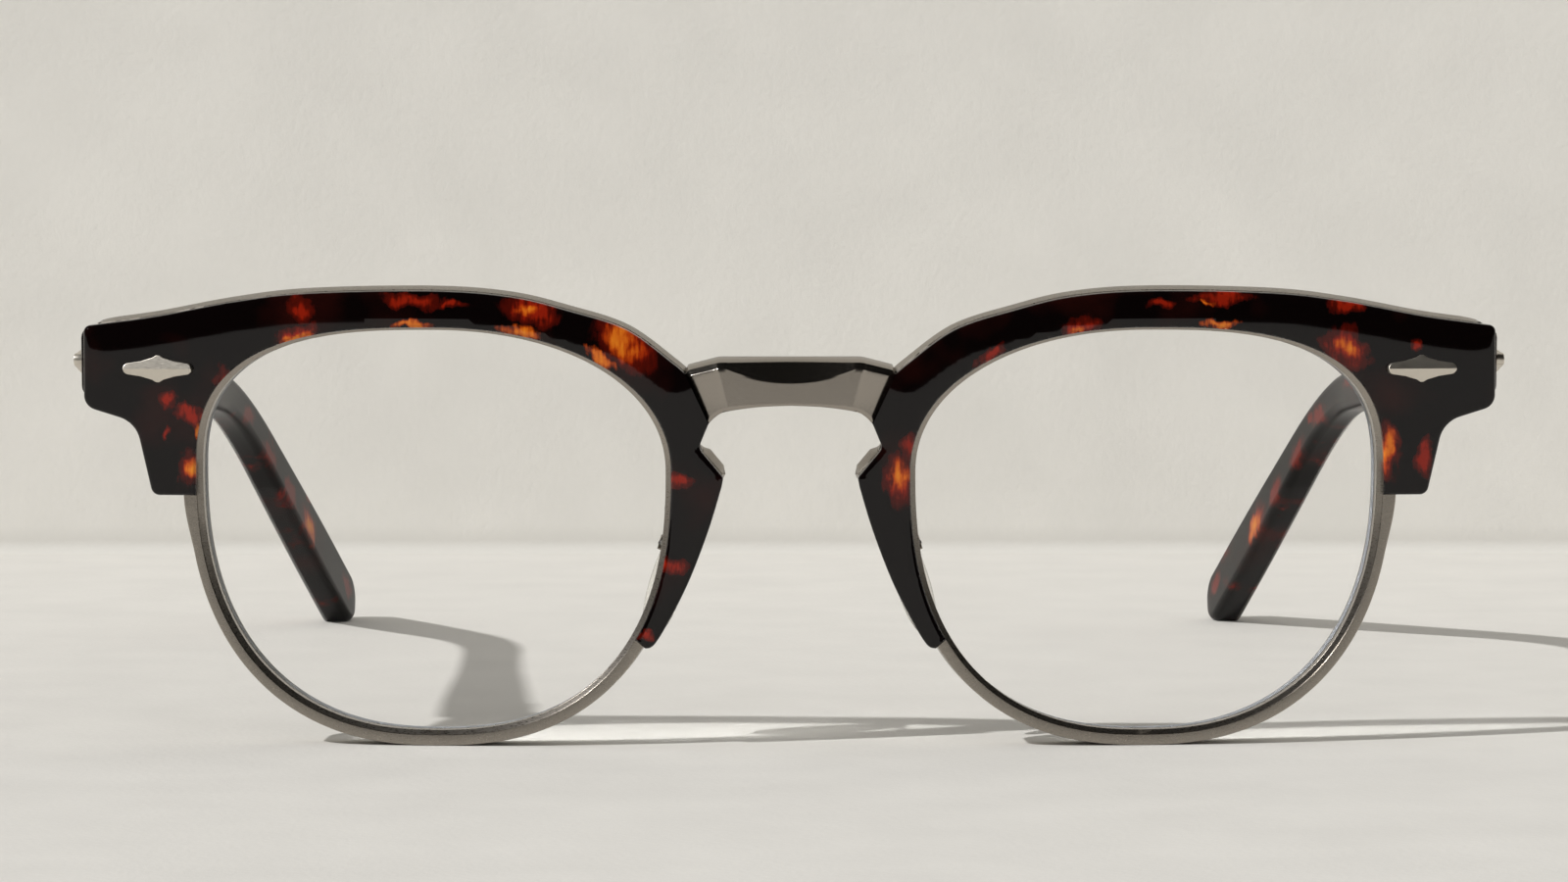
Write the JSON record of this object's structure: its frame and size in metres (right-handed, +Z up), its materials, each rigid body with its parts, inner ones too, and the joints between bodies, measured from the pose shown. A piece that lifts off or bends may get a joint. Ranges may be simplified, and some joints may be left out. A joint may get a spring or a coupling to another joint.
{
  "type": "browline glasses",
  "caption": "Browline glasses: glossy tortoise acetate brows on a metal front with clear lenses, adjustable nose pads, diamond plaques and folding acetate temples.",
  "frame": {"origin": "on the surface that the glasses stand on, under the middle of their outer box", "axes": "+Z up, -Y out of the front of the glasses, +Y back along the temples, +X to the wearer's left"},
  "size_m": [0.1476, 0.1398, 0.0465],
  "materials": {
    "titanium": "satin pewter-coloured metal",
    "tortoise_acetate": "polished dark tortoise acetate",
    "clear_lens": "clear and polished",
    "silver_plaque": "polished silver-coloured metal",
    "steel": "bright steel",
    "silicone": "soft, clear to milky"
  },
  "bodies": {
    "front": {"bridge": "titanium", "left_rim": "titanium", "left_brow_plate": "titanium", "left_brow": "tortoise_acetate", "left_lens": "clear_lens", "left_brow_plaque": "silver_plaque", "left_brow_screws": "steel", "left_endpiece": "titanium", "left_rim_lock": "titanium", "left_rim_lock_screw": "steel", "left_front_hinge_leaf": "titanium", "left_hinge_screw": "steel", "left_pad_arm": "titanium", "left_pad_screw": "steel", "right_rim": "titanium", "right_brow_plate": "titanium", "right_brow": "tortoise_acetate", "right_lens": "clear_lens", "right_brow_plaque": "silver_plaque", "right_brow_screws": "steel", "right_endpiece": "titanium", "right_rim_lock": "titanium", "right_rim_lock_screw": "steel", "right_front_hinge_leaf": "titanium", "right_hinge_screw": "steel", "right_pad_arm": "titanium", "right_pad_screw": "steel"},
    "left_temple": {"left_temple": "tortoise_acetate", "left_temple_core": "steel", "left_temple_plaque": "silver_plaque", "left_temple_hinge_leaf": "titanium"},
    "right_temple": {"right_temple": "tortoise_acetate", "right_temple_core": "steel", "right_temple_plaque": "silver_plaque", "right_temple_hinge_leaf": "titanium"},
    "left_nose_pad": {"left_nose_pad": "silicone"},
    "right_nose_pad": {"right_nose_pad": "silicone"}
  },
  "joints": [
    {"name": "left_temple_hinge", "type": "hinge", "parent": "front", "child": "left_temple", "pos_m": [0.06735, -0.05752, 0.0384], "axis": [0, 0, 1], "range_deg": [0, 84]},
    {"name": "right_temple_hinge", "type": "hinge", "parent": "front", "child": "right_temple", "pos_m": [-0.06735, -0.05752, 0.0384], "axis": [0, 0, -1], "range_deg": [0, 77]},
    {"name": "left_nose_pad_rock", "type": "hinge", "parent": "front", "child": "left_nose_pad", "pos_m": [0.01285, -0.06115, 0.02], "axis": [0.4695, 0.8829, 0], "range_deg": [-8, 8]},
    {"name": "right_nose_pad_rock", "type": "hinge", "parent": "front", "child": "right_nose_pad", "pos_m": [-0.01285, -0.06115, 0.02], "axis": [0.4695, -0.8829, 0], "range_deg": [-8, 8]}
  ]
}
